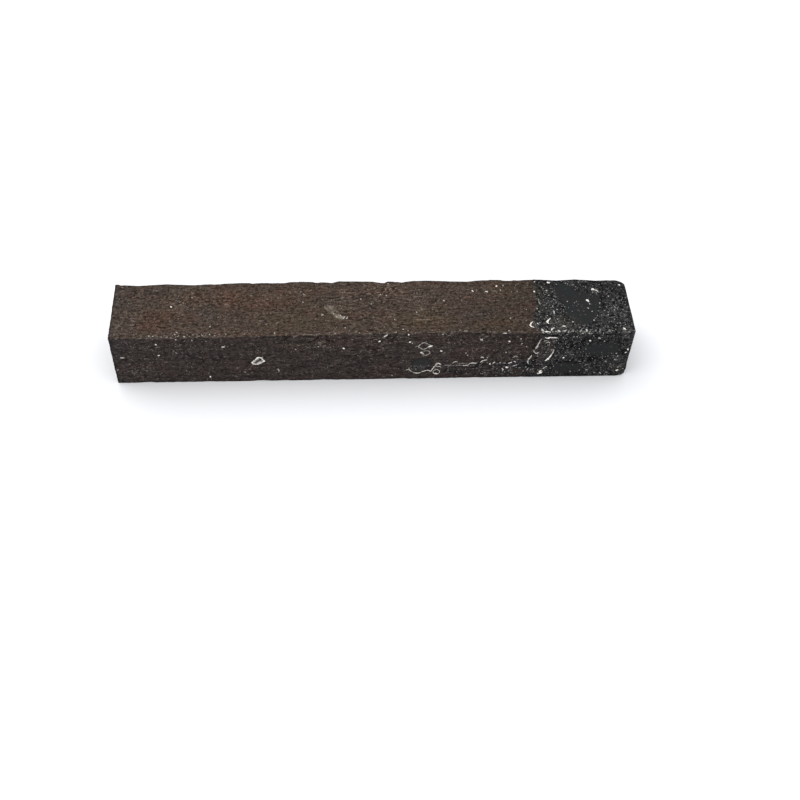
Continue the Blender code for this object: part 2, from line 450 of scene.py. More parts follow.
def make_mesh(name, points, faces, attributes):
    """A smooth-shaded object from points in mm, with a float attribute per point for each entry."""
    mesh = bpy.data.meshes.new(name)
    mesh.from_pydata((np.asarray(points) * MM).tolist(), [], [list(map(int, f)) for f in faces])
    for key, values in attributes.items():
        layer = mesh.attributes.new(key, "FLOAT", "POINT")
        layer.data.foreach_set("value", np.asarray(values, np.float32))
    mesh.validate()
    mesh.shade_smooth()
    return add_object(name, mesh)


def finish_piece(obj, material, slot, *nodes):
    obj.data.materials.append(material)
    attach(obj, BODY)
    if nodes:
        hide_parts(*nodes)


def closed_piece(name, points, faces, attributes, *finish):
    """A piece whose faces are turned to face out."""
    obj = make_mesh(name, points, faces, attributes)
    bm = bmesh.new()
    bm.from_mesh(obj.data)
    bmesh.ops.recalc_face_normals(bm, faces=bm.faces)
    bm.to_mesh(obj.data)
    bm.free()
    finish_piece(obj, *finish)


def rim_quads(index, inner_index):
    """Quads that join two skins round their rims. The skins are two grids of point numbers."""
    rims = [np.concatenate([g[:-1, 0], g[-1, :-1], g[:0:-1, -1], g[0, :0:-1]]) for g in (index, inner_index)]
    return ring_quads(np.stack(rims))


def skinned(attributes, inner_count):
    """Attributes of an outer skin, with zeros for an inner one."""
    return {key: np.concatenate([values, np.zeros(inner_count)]) for key, values in attributes.items()}


# ---------------------------------------------------------------- timber

# Colour changes of the timber, by kind and face: strength, the place of the middle, and the reach both ways
STAINS = {
    ("warm", "top"): [
        (0.9, -126, -10, 7, 6), (0.8, -119, -4, 8, 5), (0.7, -103, 9, 8, 5), (0.9, -82, 9, 9, 6),
        (0.7, -66, 6, 16, 6), (0.5, -52, 12, 10, 5), (0.5, 6, 15, 7, 5), (0.4, 40, -12, 7, 3),
    ],
    ("warm", "front"): [(0.5, -27, 34, 10, 4), (0.3, 60, 30, 16, 7)],
    ("olive", "top"): [
        (0.9, 27, -9, 13, 7), (0.7, 75, 14, 12, 5), (0.7, 73, -13, 11, 5), (0.7, -50, -10, 14, 7),
        (0.5, -26, -6, 12, 8),
    ],
    ("olive", "front"): [(0.6, -46, 30, 8, 4), (0.4, 24, 36, 14, 3)],
    ("grey", "top"): [
        (0.7, -97, -3, 6, 7), (0.6, -143, 9, 8, 9), (0.6, 60, -8, 8, 5), (0.4, -128, 15, 10, 4),
    ],
    ("grey", "front"): [(0.5, -108, 30, 9, 5), (0.5, -143, 30, 7, 8), (0.5, -36, 28, 9, 4)],
    ("rubbed", "front"): [
        (1.0, -30, 32, 13, 6), (0.8, 2, 32, 10, 8), (0.7, 58, 32, 18, 7), (0.9, 82, 20, 12, 13),
        (0.8, -112, 34, 12, 5), (0.7, -135, 10, 12, 8),
    ],
    ("rubbed", "top"): [
        (1.0, 5, 13, 9, 7), (0.8, -20, 8, 10, 9), (0.7, -112, 4, 16, 12), (0.7, -138, -12, 10, 8),
        (0.8, 70, 14, 13, 6), (0.7, 28, 4, 12, 10), (0.5, 85, -8, 9, 12),
    ],
}

# Pale marks rubbed on to the timber on each face: strength, half width, path
PALE_MARKS = {
    "front": [
        (0.14, 0.3, [(-63, 19.6), (-60.4, 21.4), (-57.4, 22.4)]),
        (0.35, 0.35, [(4.6, 36.2), (5.8, 37.6), (7, 38.8)]), (0.22, 0.35, [(-56.4, 10.6), (-55.8, 8.6)]),
    ],
    "top": [
        (0.2, 0.55, [(-28.4, 1.2), (-26.2, -2)]), (0.26, 0.5, [(-26.4, 2), (-23.6, -2)]),
        (0.22, 0.55, [(-24.6, 1.4), (-21.4, -2.6)]), (0.36, 0.7, [(-24.6, -3.2), (-23.2, -4.6)]),
        (0.4, 1.1, [(-21.4, -5.8), (-18.6, -7.6)]), (0.28, 0.26, [(23.5, -9.7), (27, -9.5), (30.5, -9.9)]),
        (0.14, 0.35, [(-146.6, -13.4), (-144.5, -11), (-142.4, -8.4)]),
        (0.14, 0.35, [(-141, -10), (-139, -11.8), (-137, -14.4)]),
    ],
}


def stained(p, n, stains):
    """How strong each kind of stain is at each point. Stains are soft ovals."""
    found = {kind: np.zeros(len(p)) for kind, _ in stains}
    for (kind, face), rows in stains.items():
        for strength, u, v, reach_u, reach_v in rows:
            away = ((p[:, 0] - u) / reach_u) ** 2 + ((face_v(p, face) - v) / reach_v) ** 2
            found[kind] = np.maximum(found[kind], strength * np.exp(-away) * on_face(n, face))
    return found


def timber_attributes(p, n):
    """The stains, rubbing, dust and splits of the timber, and painted shade on its front and bottom faces and
    along some edges, for its material.
    """
    found = stained(p, n, STAINS)
    found["pale"] = np.zeros(len(p))
    broken = ramp(fbm(p, (1.3, 0.9, 0.9), 41, 2), -0.3, 0.2)
    for face, rows in PALE_MARKS.items():
        for strength, half, path in rows:
            d = path_distance(p[:, 0], face_v(p, face), path)
            mark = strength * (1.0 - ramp(d, 0.6 * half, 1.8 * half)) * on_face(n, face)
            found["pale"] = np.maximum(found["pale"], mark * (0.35 + 0.65 * broken))
    near = arris_distance(p, NEAR)
    ticks = ramp(fbm(p, (2.6, 2.0, 2.0), 43, 3), -0.15, 0.25)
    found["pale"] += 0.10 * bell(near, 0.55) * ticks
    found["rubbed"] = np.maximum(found["rubbed"], 0.6 * bell(near, 2.0))
    found["grey"] += 0.8 * bell(p[:, 0] - BARE_X, 4.0) * (np.abs(n[:, 0]) < 0.5)
    shadowed = (n[:, 1] < -0.5) * bell(p[:, 2] - (TOP_Z - 1.1), 0.6)
    shadowed = shadowed * ramp(fbm(p, (6, 3, 3), 44, 2), -0.05, 0.3)
    pores = 0.6 * ramp(noise(p / np.array([5.0, 0.9, 0.9]), 17), 0.34, 0.62)
    dark = np.maximum(np.maximum(grooves(p, n)[0], pores), 0.8 * shadowed)
    # Painted shade: a dark line along the far and foot arrises and the rim of the bare end, standing for a
    # contact shadow and a dark outline
    shade_edge_distance = np.minimum(arris_distance(p, FAR), arris_distance(p, FOOT))
    shade_edge_distance = np.minimum(shade_edge_distance, p[:, 0] - BARE_X)
    dark = np.maximum(dark, 0.66 * bell(shade_edge_distance, 0.9))
    dark = np.maximum(dark, 0.24 * ramp(p[:, 0], 30.0, 85.0))
    on_end = ramp(-n[:, 0], 0.3, 0.9)
    from_pith = np.hypot(p[:, 1] + 34.0, p[:, 2] + 22.0) + 0.6 * fbm(p, (9, 9, 9), 45, 2)
    growth = 0.25 + 0.35 * ramp(np.sin(math.tau * from_pith / 3.1), 0.1, 0.9)
    found["dark"] = np.maximum(dark, on_end * np.maximum(growth, check_share(p)))
    # Painted shade: the front, and half as much the bottom, get darker, cooler colours in the material than
    # the top
    found["front"] = np.clip(-n[:, 1], 0.0, 1.0) + 0.5 * np.clip(-n[:, 2], 0.0, 1.0)
    return found


def build_timber(material):
    arris_radius = 0.32
    across, along, fine, fine_count = 0.60, 0.86, 0.16, 3
    ys = steps(-HALF_WIDTH, HALF_WIDTH, across, fine, fine_count)
    zs = steps(BOTTOM, TOP_Z, across, fine, fine_count)
    hidden_from = DIP_X + 7.0
    end_x = SAWN_END_X - 0.4
    seen_xs = steps(BARE_X, hidden_from, along, fine, fine_count)
    xs = np.concatenate([seen_xs, np.linspace(hidden_from + 6, end_x, 9)])
    points, quads, _ = box_lattice(xs, ys, zs)
    low = np.array([BARE_X, -HALF_WIDTH, BOTTOM])
    high = np.array([end_x, HALF_WIDTH, TOP_Z])
    surface, normals = rounded(points, low, high, arris_radius)
    on_end = ramp(-normals[:, 0], 0.3, 0.9)
    relief = timber_relief(surface, normals) * (1.0 - on_end) + bare_end_relief(surface) * on_end
    past_edge = points[:, 0] - dip_edge(surface, normals)
    hidden = ramp(past_edge, 0.5, 3.0)
    relief = relief * (1.0 - hidden) - 0.35 * hidden
    attributes = timber_attributes(surface, normals)
    obj = make_mesh("timber", settle(surface + relief[:, None] * normals), quads, attributes)
    finish_piece(obj, material, "dark_timber", "timber_billet")


# ---------------------------------------------------------------- wax cap


def build_cap(material):
    """The coat: an outer skin over the sawn planes, and an inner skin just inside the timber."""
    radius = 0.7
    start = DIP_X
    low = np.array([start - 20.0, -HALF_WIDTH, BOTTOM])
    high = np.array([SAWN_END_X, HALF_WIDTH, TOP_Z])
    across, fine, fine_count = 0.5, 0.22, 4
    ys = steps(-HALF_WIDTH, HALF_WIDTH, across, fine, fine_count)
    zs = steps(BOTTOM, TOP_Z, across, fine, fine_count)
    xs = start + (SAWN_END_X - start) * steps(0.0, 1.0, 1.0 / 112.0, 1.0 / 260.0, fine_count)
    outer, outer_quads, outer_index = box_lattice(xs, ys, zs, open_start=True)
    flat, normals = rounded(outer, low, high, radius)
    edge = dip_edge(flat, normals)
    along = (flat[:, 0] - start) / (SAWN_END_X - start)
    flat[:, 0] = edge + (SAWN_END_X - edge) * along
    past_edge = flat[:, 0] - edge
    thickness = wax_thickness(flat, normals, past_edge)
    broad = 0.10 * fbm(flat, (70, 26, 26), 11, 3)
    bare = flaked_share(flat, normals)
    split = grooves(flat, normals)[1]
    follow = timber_relief(flat, normals) - broad + split
    near_edge = 1.0 - ramp(past_edge, 0.0, 3.0)
    height = thickness + broad + follow * (0.25 + 0.75 * np.maximum(near_edge, bare)) - 0.8 * split
    on_end = ramp(normals[:, 0], 0.3, 0.9)
    height = height * (1.0 - on_end) + (COAT + waxed_end_relief(flat)) * on_end
    outside = settle(flat + height[:, None] * normals)

    inner_xs = np.array([start, start + 6.0, SAWN_END_X])
    inner, inner_quads, inner_index = box_lattice(inner_xs, ys, zs, open_start=True)
    inner_flat, inner_normals = rounded(inner, low, high, radius)
    at_mouth = inner[:, 0] < start + 1e-6
    inner_flat[at_mouth, 0] = dip_edge(inner_flat, inner_normals)[at_mouth]
    inner_relief = timber_relief(inner_flat, inner_normals)
    sunk = np.where(at_mouth, inner_relief - 0.25, -0.45)
    inside = settle(inner_flat + sunk[:, None] * inner_normals)

    shift = len(outside)
    rim = rim_quads(outer_index[0], inner_index[0] + shift)
    faces = np.concatenate([outer_quads, inner_quads[:, ::-1] + shift, rim])
    looks = skinned(cap_attributes(flat, normals, past_edge, bare), len(inside))
    skins = np.concatenate([outside, inside])
    closed_piece("wax_cap", skins, faces, looks, material, "black_wax", "wax_end_cap")


# Rubbed and stained places of the wax, in the same way as those of the timber
WAX_STAINS = {
    ("rubbed", "top"): [
        (0.8, 103, -14, 9, 6), (0.8, 117, 17, 7, 5), (0.8, 142, -2, 9, 14), (0.8, 105, 4, 5, 9),
    ],
    ("rubbed", "front"): [
        (0.7, 112, 24, 8, 8), (0.7, 143, 10, 6, 10), (0.7, 124, 12, 9, 5), (0.7, 96, 10, 8, 9),
    ],
    ("olive", "top"): [(1, 97, 8, 4, 15), (1, 108, -14, 8, 6)],
    ("olive", "front"): [(0.8, 145, 7, 4, 6)],
}


def cap_attributes(p, n, past_edge, bare):
    """Where the wax is whitened, rubbed, smooth, split or flaked down to a stain, and where shade is painted
    along the arrises, for its material.
    """
    arris = arris_distance(p, NEAR)
    broken = ramp(fbm(p, (2.2, 1.2, 1.2), 51, 2), 0.05, 0.35)
    worn = bell(arris, 0.7) * broken
    lip = bell(past_edge, 0.4) * ramp(fbm(p, (2.4, 2.4, 2.4), 54, 2), 0.0, 0.3)
    pale = 0.16 * worn + 0.16 * lip
    on_top = n[:, 2] > 0.3
    found = stained(p, n, WAX_STAINS)
    rubbed = np.maximum(found["rubbed"], 0.50 * ramp(fbm(p, (12, 10, 10), 53, 2), -0.1, 0.4))
    rubbed = np.maximum(rubbed, bell(arris, 6.5) * np.where(on_top, 0.85, 0.45))
    smooth = smooth_share(p, n)
    # Painted shade: a dark band just below the near arris, on the front and the waxed end
    arris_shade_band = 0.7 * bell(arris - 1.2, 0.6) * ramp(fbm(p, (4, 3, 3), 55, 2), 0.0, 0.3) * ~on_top
    split = np.maximum(grooves(p, n)[0], arris_shade_band)
    # Painted shade: a dark line along the far and foot arrises; split holds this as well as the real splits
    far = np.minimum(arris_distance(p, FAR), arris_distance(p, FOOT))
    split = np.maximum(split, 0.6 * bell(far, 0.7))
    found.update(pale=pale, rubbed=rubbed * (1.0 - smooth), smooth=smooth, bare=bare, dark=split)
    return found


# ---------------------------------------------------------------- places on the faces

ALONG, ACROSS, UP = np.eye(3)
FACES = {
    "front": (ALONG, UP, -ACROSS, HALF_WIDTH),
    "back": (ALONG, UP, ACROSS, HALF_WIDTH),
    "top": (ALONG, ACROSS, UP, TOP_Z),
    "bare_end": (ACROSS, UP, -ALONG, -BARE_X),
    "waxed_end": (ACROSS, UP, ALONG, SAWN_END_X),
}


def on_surface(face, u, v, lift):
    """Points on the finished surface of a face, lifted by lift. u and v are arrays in mm."""
    along_u, along_v, normal, offset = FACES[face]
    u, v = np.asarray(u, float), np.asarray(v, float)
    p = u[:, None] * along_u + v[:, None] * along_v + offset * normal
    n = np.tile(normal, (len(p), 1))
    if face == "bare_end":
        height = bare_end_relief(p)
    elif face == "waxed_end":
        height = COAT + waxed_end_relief(p)
    else:
        past_edge = p[:, 0] - dip_edge(p, n)
        coat = wax_thickness(p, n, np.maximum(past_edge, 0.0)) + 0.14 * fbm(p, (70, 26, 26), 11, 3)
        height = np.where(past_edge > 0.0, coat - 0.8 * grooves(p, n)[1], timber_relief(p, n))
    return settle(p + (height + lift)[:, None] * normal)


def smooth_path(points, spacing, closed=False):
    """A Catmull-Rom curve through given points, with an even spacing."""
    pts = np.asarray(points, float)
    if closed:
        pts = np.vstack([pts[-1], pts, pts[0], pts[1]])
    else:
        pts = np.vstack([2 * pts[0] - pts[1], pts, 2 * pts[-1] - pts[-2]])
    t = np.linspace(0.0, 1.0, 16, endpoint=False)[:, None]
    parts = []
    for a, b, c, d in zip(pts, pts[1:], pts[2:], pts[3:]):
        bend = (2 * a - 5 * b + 4 * c - d) * t**2 + (3 * b - a - 3 * c + d) * t**3
        parts.append(0.5 * (2 * b + (c - a) * t + bend))
    curve = np.vstack(parts + [pts[-2][None, :]])
    run = np.concatenate([[0.0], np.cumsum(np.linalg.norm(np.diff(curve, axis=0), axis=1))])
    count = max(4, round(run[-1] / spacing))
    at = np.linspace(0.0, run[-1], count + 1)
    if closed:
        at = at[:-1]
    return np.stack([np.interp(at, run, curve[:, axis]) for axis in range(2)], axis=1)


class Parts:
    """Gathers closed bodies into one mesh."""

    def __init__(self):
        self.points, self.faces, self.tone, self.count = [], [], [], 0

    def add(self, points, faces, tone):
        self.points.append(points)
        self.faces += [[i + self.count for i in f] for f in faces]
        self.tone.append(np.broadcast_to(tone, len(points)))
        self.count += len(points)

    def piece(self, name, material, *nodes):
        tone = {"tone": np.concatenate(self.tone)}
        closed_piece(name, np.vstack(self.points), self.faces, tone, material, "pale_wax", *nodes)


RIB_LINES = 7  # lines of points over the top of a rib
ROOT = 0.3  # how far ribs and pads reach into the surface


def ribbon(parts, face, path, width, height, seed, tone=1.0, swell=(1.0, 1.0)):
    """A ragged rib of wax along a path on a face. It closes on itself if the path ends where it began."""
    closed = path[0] == path[-1]
    curve = smooth_path(path[:-1] if closed else path, 0.32, closed)
    count = len(curve)
    ahead = np.roll(curve, -1, axis=0) - np.roll(curve, 1, axis=0)
    if not closed:
        ahead[0], ahead[-1] = curve[1] - curve[0], curve[-1] - curve[-2]
    ahead /= np.linalg.norm(ahead, axis=1, keepdims=True)
    aside = np.stack([-ahead[:, 1], ahead[:, 0]], axis=1)
    spot = np.column_stack([curve, np.full(count, float(seed))])
    wobble = 0.16 * noise(spot / 1.1, seed)
    ragged = 1.0 + 0.75 * noise(spot / 0.9, seed + 1)
    share = np.linspace(0.0, 1.0, count)
    taper = np.ones(count) if closed else np.clip(np.sin(math.pi * share), 0.02, 1.0) ** 0.45
    taper = taper * np.interp(share, np.linspace(0.0, 1.0, len(swell)), swell)
    half = np.maximum(0.5 * width * ragged * taper, 0.05)
    tall = np.maximum(height * (0.8 + 0.5 * noise(spot / 0.7, seed + 2)) * taper, 0.04)

    def line(out, lift):
        place = curve + out[:, None] * aside
        return on_surface(face, place[:, 0], place[:, 1], lift)

    lines = []
    for k, roll in enumerate(np.linspace(0.0, math.pi, RIB_LINES)):
        flatness = 0.25 * noise(spot / 0.5 + k * 3.7, seed + 3)
        lift = tall * (max(math.sin(roll), 0.0) ** 0.8 + flatness * math.sin(roll)) - 0.06
        lines.append(line(half * math.cos(roll) + wobble, lift))
    lines.append(line(wobble, np.full(count, -ROOT)))
    points = np.stack(lines, axis=1).reshape(-1, 3)
    index = np.arange(len(points)).reshape(count, -1)
    faces = ring_quads(index, closed).tolist()
    faces += [] if closed else [index[0, ::-1].tolist(), index[-1].tolist()]
    shade = np.clip(tone * (0.8 + 0.5 * noise(spot / 0.8, seed + 4)), 0.0, 1.2)
    parts.add(points, faces, np.repeat(shade, RIB_LINES + 1))


def pad(parts, face, outline, profile, tone_of, sides, rings):
    """A pad on a face. outline is a closed path, profile gives the height at a share of the way out to it."""
    rim = smooth_path(outline, 0.2, closed=True)
    centre = rim.mean(axis=0)
    rim = rim[np.linspace(0, len(rim), sides, endpoint=False).astype(int)]
    points, tones = [], []

    def ring(share, lift=None):
        uv = centre + (rim - centre) * share if share else centre[None, :]
        points.append(on_surface(face, uv[:, 0], uv[:, 1], profile(uv, share) if lift is None else lift))
        tones.append(tone_of(uv, share) if lift is None else np.zeros(sides))

    for share in np.sin(0.5 * math.pi * np.linspace(1.0, 1.0 / rings, rings)):
        ring(share)
    ring(0.0)
    ring(0.92, np.full(sides, -ROOT))
    index = np.arange(rings * sides).reshape(rings, sides)
    hub = rings * sides
    back = hub + 1 + np.arange(sides)
    faces = ring_quads(index).tolist() + ring_quads(np.stack([back, index[0]])).tolist()
    faces += [[i, j, hub] for i, j in zip(index[-1], np.roll(index[-1], -1))]
    faces.append(back[::-1].tolist())
    parts.add(np.vstack(points), faces, np.concatenate(tones))


def ball(subdivisions):
    mesh = bmesh.new()
    bmesh.ops.create_icosphere(mesh, subdivisions=subdivisions, radius=1.0)
    shape = np.array([vert.co[:] for vert in mesh.verts])
    faces = [[vert.index for vert in f.verts] for f in mesh.faces]
    mesh.free()
    return shape, faces


FINE_BALL = ball(3)
COARSE_BALL = ball(1)


def crumb(parts, face, u, v, size, rng, tone, stretch=1.0, body=COARSE_BALL, turn=None):
    """A small irregular lump of wax stuck on a face. It is turned at random if turn is None."""
    shape, faces = body
    shape = shape * (1.0 + 0.45 * noise(shape * 1.3 + rng.uniform(0, 60, 3), 61)[:, None])
    angle = rng.uniform(0, math.tau)
    angle = angle if turn is None else turn
    c, s = math.cos(angle), math.sin(angle)
    long, wide, tall = size * stretch, size * rng.uniform(0.65, 0.95), size * rng.uniform(0.35, 0.55)
    du = shape[:, 0] * long * c - shape[:, 1] * wide * s
    dv = shape[:, 0] * long * s + shape[:, 1] * wide * c
    along_u, along_v, normal, _ = FACES[face]
    base = on_surface(face, np.array([u]), np.array([v]), np.array([0.3 * tall]))
    points = base + du[:, None] * along_u + dv[:, None] * along_v + (shape[:, 2] * tall)[:, None] * normal
    points[:, 2] = np.maximum(points[:, 2], FLOOR_GAP)
    parts.add(points, faces, tone)


# ---------------------------------------------------------------- wax runs, rings and flakes

# Upper and lower edges of the thin run on the front, as X and Z
RUN_TOP = [
    (41, 11.4), (47, 12.4), (53, 11.2), (57, 13), (60, 13.4), (64, 15.4), (70, 14.4), (78, 13.8), (84, 15.6),
    (92, 17),
]
RUN_LOW = [(41, 5.4), (50, 2.8), (70, 1.8), (92, 1.5)]

# Pale ribs along the run: width, tone, path
RUN_RIBS = [
    (0.36, 0.4, [(39.6, 11.2), (41.4, 11.8), (43.6, 11.8), (45.6, 12)]),
    (0.42, 0.62, [(45.4, 12.8), (46.6, 14.4), (48, 14.9), (49.2, 13.9)]),
    (0.45, 0.5, [(45, 11.6), (47.6, 11.4), (50.4, 11.5), (52.2, 11.4)]),
    (0.66, 0.78, [(51.8, 11.3), (53.2, 11.2), (54.8, 11.6), (56, 12.4)]),
    (0.62, 1, [(55.4, 13), (57.2, 13.4), (59, 13.3), (60.8, 13.3)]),
    (0.34, 0.36, [(47.4, 12.9), (50, 13), (53, 13), (55.6, 13.3)]),
    (0.66, 0.9, [(62, 13.6), (63, 14.9), (64.4, 15.8), (66.2, 15.9)]),
    (0.6, 0.8, [(62.4, 19.4), (63.2, 18.4), (64, 17.8)]),
    (0.75, 0.95, [(69.4, 12.6), (70.2, 13.6), (71.2, 14)]), (0.6, 0.7, [(68.8, 11.6), (69.6, 12.2)]),
    (1, 1.1, [(77.6, 10.2), (78.5, 9), (79.3, 9.9)]),
    (0.85, 1.1, [(78.2, 11.6), (78.8, 12.8), (80.2, 13.6), (81.8, 13.6)]),
    (0.6, 0.9, [(81.6, 14.4), (82.8, 14.2), (83.4, 13)]),
    (0.65, 0.75, [(81.6, 10.6), (83.2, 10.8), (84.8, 11.8), (85.6, 12.4)]),
    (0.7, 0.85, [(74.2, 8.8), (75.4, 8.6), (76.4, 7.2), (76, 5.8)]),
    (0.55, 0.6, [(80.8, 17.6), (82.4, 18.8), (84.4, 18.2)]),
    (0.45, 0.45, [(69, 9.4), (70.4, 10.4), (71.8, 10)]),
]


def build_film(material, pale):
    """The thin run along the lower front, from the dip line to the bead."""
    x_low, x_high = (end[0] for end in box_mm("wax_run_film"))
    columns, rows = 150, 44
    u = np.linspace(x_low, x_high + 0.6, columns)
    spot = u[:, None] * ALONG
    top = np.interp(u, *zip(*RUN_TOP)) + 0.5 * fbm(spot, (3, 3, 3), 81, 3)
    low = np.interp(u, *zip(*RUN_LOW)) + 0.4 * fbm(spot, (4, 4, 4), 82, 2)
    across = np.linspace(0.0, 1.0, rows)
    grid_u = np.repeat(u, rows)
    grid_v = (low[:, None] + (top - low)[:, None] * across).ravel()
    share = np.tile(across, columns)
    end_share = np.repeat(ramp(u, x_low, x_low + 2.0), rows)
    edge_share = ramp(share, 0.0, 0.08) * (1.0 - ramp(share, 0.92, 1.0))
    where = np.column_stack([grid_u, np.full(len(grid_u), -HALF_WIDTH), grid_v])
    lumps = 0.10 + 0.14 * fbm(where, (6, 6, 6), 83, 2) + 0.10 * fbm(where, (1.6, 1.6, 1.6), 84, 2)
    cover = ramp(fbm(where, (9, 9, 5), 85, 3) + 0.35 * (0.5 - share) + 0.10, -0.25, 0.1)
    lift = np.maximum(lumps, 0.02) * edge_share * end_share * cover
    lift -= 0.03 * (1.0 - cover) + 0.02 * (1.0 - edge_share)
    sunk = np.full(len(lift), -0.32)
    skins = [on_surface("front", grid_u, grid_v, height) for height in (lift, sunk)]
    index = np.arange(columns * rows).reshape(columns, rows)
    inner = index + index.size
    faces = np.concatenate([grid_quads(index), grid_quads(inner)[:, ::-1], rim_quads(index, inner)])
    stained_share = 0.95 * (1.0 - ramp(grid_u, 70.0, 90.0))
    looks = {
        "pale": 0.14 * ramp(fbm(where, (2.2, 2.2, 1.2), 86, 3), 0.25, 0.55),
        "rubbed": np.clip(0.10 + 0.5 * ramp(grid_u, 56, 74) + 0.5 * fbm(where, (6, 6, 4), 87, 2), 0.0, 1.0),
        "smooth": np.full(index.size, 0.2),
        "bare": np.maximum(0.6 * (1.0 - cover), stained_share),
        "dark": 0.85 * ramp(fbm(where, (1.9, 1.9, 1.3), 88, 2), 0.05, 0.25),
    }
    looks = skinned(looks, index.size)
    closed_piece("run_film", np.concatenate(skins), faces, looks, material, "black_wax", "wax_run_film")
    rim = Parts()
    for seed, (width, tone, path) in enumerate(RUN_RIBS, start=301):
        ribbon(rim, "front", path, width, 0.42 * width, seed, tone)
    rim.piece("run_film_rim", pale)


def middle_of(node, face="front"):
    """The middle of a CAD node, in the two directions of a face."""
    middle = sum(box_mm(node)) / 2
    return middle[0], middle[2 if face == "front" else 1]


def around(centre, offsets):
    return [(centre[0] + du, centre[1] + dv) for du, dv in offsets]


def add_ribs(parts, rows, face="front", middle=(0, 0)):
    """Adds ribs: width, height, seed, tone, path measured from middle, and perhaps a swell along it."""
    for width, height, seed, tone, path, *swell in rows:
        ribbon(parts, face, around(middle, path), width, height, seed, tone, *swell)


def build_bead(material, pale):
    """The fat drop, heavier towards its lower edge, and the pale skirt that it left as it shrank."""
    centre = middle_of("wax_run_bead")
    outline = around(centre, [
        (-6.0, 2.8), (-4.4, 5.6), (-1.0, 7.2), (3.0, 7.0), (5.8, 4.8),
        (5.6, 0.8), (3.0, -1.4), (-0.8, -3.4), (-4.2, -3.2), (-6.0, -0.8),
    ])

    def profile(uv, share):
        where = np.column_stack([uv[:, 0], np.zeros(len(uv)), uv[:, 1]])
        sag = 1.0 - 0.06 * (uv[:, 1] - centre[1])
        dome = math.sqrt(max(0.0, 1.0 - share**2.6))
        return 0.75 * dome * sag * (1.0 + 0.30 * fbm(where, (4, 4, 4), 87, 2)) - 0.04

    bead = Parts()
    pad(bead, "front", outline, profile, lambda uv, share: np.full(len(uv), share), sides=96, rings=24)
    points = np.vstack(bead.points)
    lower = 1.0 - ramp(points[:, 2], centre[1] + 0.8, centre[1] + 2.6)
    upper = 1.0 - lower
    looks = {
        "rubbed": 0.9 * lower,
        "smooth": 1.0 - 0.8 * lower,
        "bare": 0.5 * lower,
        # Painted shade: a dark line round the upper rim of the drop, where it meets the coat
        "dark": 0.7 * ramp(np.concatenate(bead.tone), 0.84, 0.97) * upper,
        "pale": 0.012 * upper + 0.06 * lower * ramp(fbm(points, (1.8, 1.8, 1.4), 89, 2), 0.0, 0.3),
    }
    closed_piece("run_bead", points, bead.faces, looks, material, "black_wax", "wax_run_bead")
    rim = Parts()
    add_ribs(rim, SKIRT_RIBS)
    rim.piece("run_bead_skirt", pale)


# The pale skirt round the bead: width, height, seed, tone, path
SKIRT_RIBS = [
    (0.55, 0.30, 321, 0.62, [(20.6, 10.4), (20.3, 9), (21.2, 7.4), (22.6, 6)]),
    (0.62, 0.30, 325, 0.70, [(22.2, 6.2), (24.2, 5.2), (26.4, 5.3), (28.4, 6.2)]),
    (0.66, 0.35, 322, 0.95, [(27.8, 6.2), (29.4, 7), (30.6, 7.4)]),
    (0.60, 0.35, 326, 0.75, [(30.2, 7.4), (32, 7.6), (33.4, 6.9), (34.2, 8.2)]),
    (0.62, 0.40, 323, 0.80, [(33.6, 7.2), (34.6, 9.4), (35.6, 11.6), (37.2, 13)]),
    (0.45, 0.20, 324, 0.55, [(18.4, 7.8), (19.2, 8.4), (20.2, 8.7)]),
]

# Small pale pieces, named after the CAD nodes they stand for. Ribs are measured from the node's middle
FRONT_PIECES = {
    "droplet_upper": [
        (0.70, 0.40, 331, 0.85, [(-1.6, 1.2), (-0.4, 2.2), (1, 2), (2.4, 0.8)]),
        (0.50, 0.30, 332, 0.50, [(-1.8, -0.9), (0.2, -0.4), (1.8, -0.8), (2.6, -1.8)]),
    ],
    "droplet_lower": [
        (0.50, 0.30, 333, 0.55, [
            (-2, 0.1), (-0.6, 1.9), (1.3, 1.4), (1.9, -0.6), (0.6, -2.2), (-1.3, -1.8), (-2, 0.1),
        ]),
        (0.90, 0.40, 334, 0.95, [(-1, -1.2), (-0.2, -1.8), (0.8, -1.6)]),
    ],
    "ring_large": [
        (0.46, 0.28, 341, 0.52, [
            (-3.8, 0.2), (-2.2, 2.2), (-0.4, 3.3), (1.6, 2.2), (3.6, 0.3),
            (1.6, -0.8), (-0.4, -2.2), (-2.2, -1.4), (-3.8, 0.2),
        ]),
        (0.90, 0.42, 342, 0.95, [(1.7, 0.2), (3, 0.3), (4.4, 0.9)]),
        (0.40, 0.22, 343, 0.40, [(-5.8, -0.2), (-4.8, 0.6), (-3.8, 0.5)]),
    ],
    "ring_small": [
        (0.42, 0.25, 344, 0.45, [
            (-2.5, 0.5), (-0.3, 1.9), (2.3, 1.3), (2.2, -0.7), (-0.2, -1.9), (-2.5, 0.5),
        ]),
        (1.00, 0.40, 345, 1.00, [(-3.1, 0.6), (-2, 0.2), (-0.9, -0.3)]),
    ],
}
CRESCENT = [(0.5, 2.1), (-0.9, 1), (-1.7, -0.6), (-1.3, -2), (0.4, -2.7)]
TOP_PIECES = {"crescent_flake": [(0.85, 0.40, 351, 1.0, CRESCENT, (0.6, 0.8, 1.2, 1, 1.2))]}


def build_small_pieces(pieces, face, pale):
    for name, rows in pieces.items():
        parts = Parts()
        add_ribs(parts, rows, face, middle_of("wax_" + name, face))
        parts.piece(name, pale, "wax_" + name)


